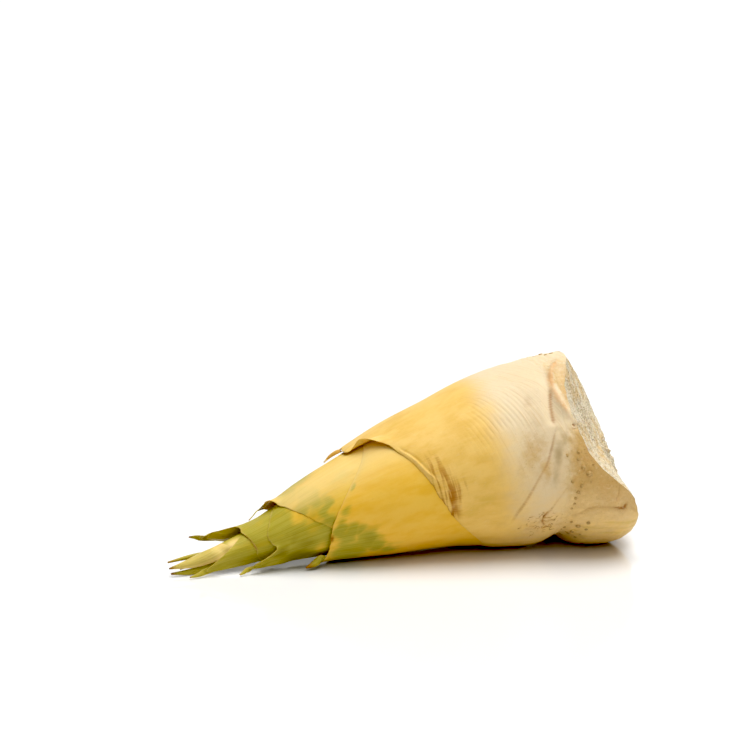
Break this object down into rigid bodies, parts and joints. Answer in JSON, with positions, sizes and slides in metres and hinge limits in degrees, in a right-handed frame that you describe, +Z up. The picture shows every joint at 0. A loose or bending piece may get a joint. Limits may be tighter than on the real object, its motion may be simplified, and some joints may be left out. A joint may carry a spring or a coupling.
{
  "type": "bamboo shoot",
  "caption": "Fresh bamboo shoot with its base cut on a slant, wrapped in pale nested sheaths that end in green leaf tips, lying on its side.",
  "frame": {"origin": "middle of the shoot's bounding box in plan, on the surface that it lies on", "axes": "+X along the shoot from its leaf tips towards its cut base, +Y across it, +Z up"},
  "size_m": [0.2196, 0.0916, 0.0875],
  "materials": {
    "shoot_flesh": "matt moist flesh, porous and cream on the cut, tan skin with root buds",
    "pale_sheath": "satin fibrous leaf sheath, cream to warm yellow",
    "golden_sheath": "satin leaf sheath, golden yellow with green patches",
    "green_sheath": "satin leaf sheath, olive to yellow green with fine parallel veins"
  },
  "bodies": {
    "root": {"culm": "shoot_flesh", "sheath_1": "pale_sheath", "sheath_2": "golden_sheath", "sheath_3": "green_sheath", "sheath_4": "green_sheath", "sheath_5": "green_sheath", "sheath_6": "green_sheath", "sheath_7": "green_sheath", "sheath_8": "green_sheath", "sheath_9": "green_sheath", "leaf_bud": "green_sheath"}
  },
  "joints": []
}
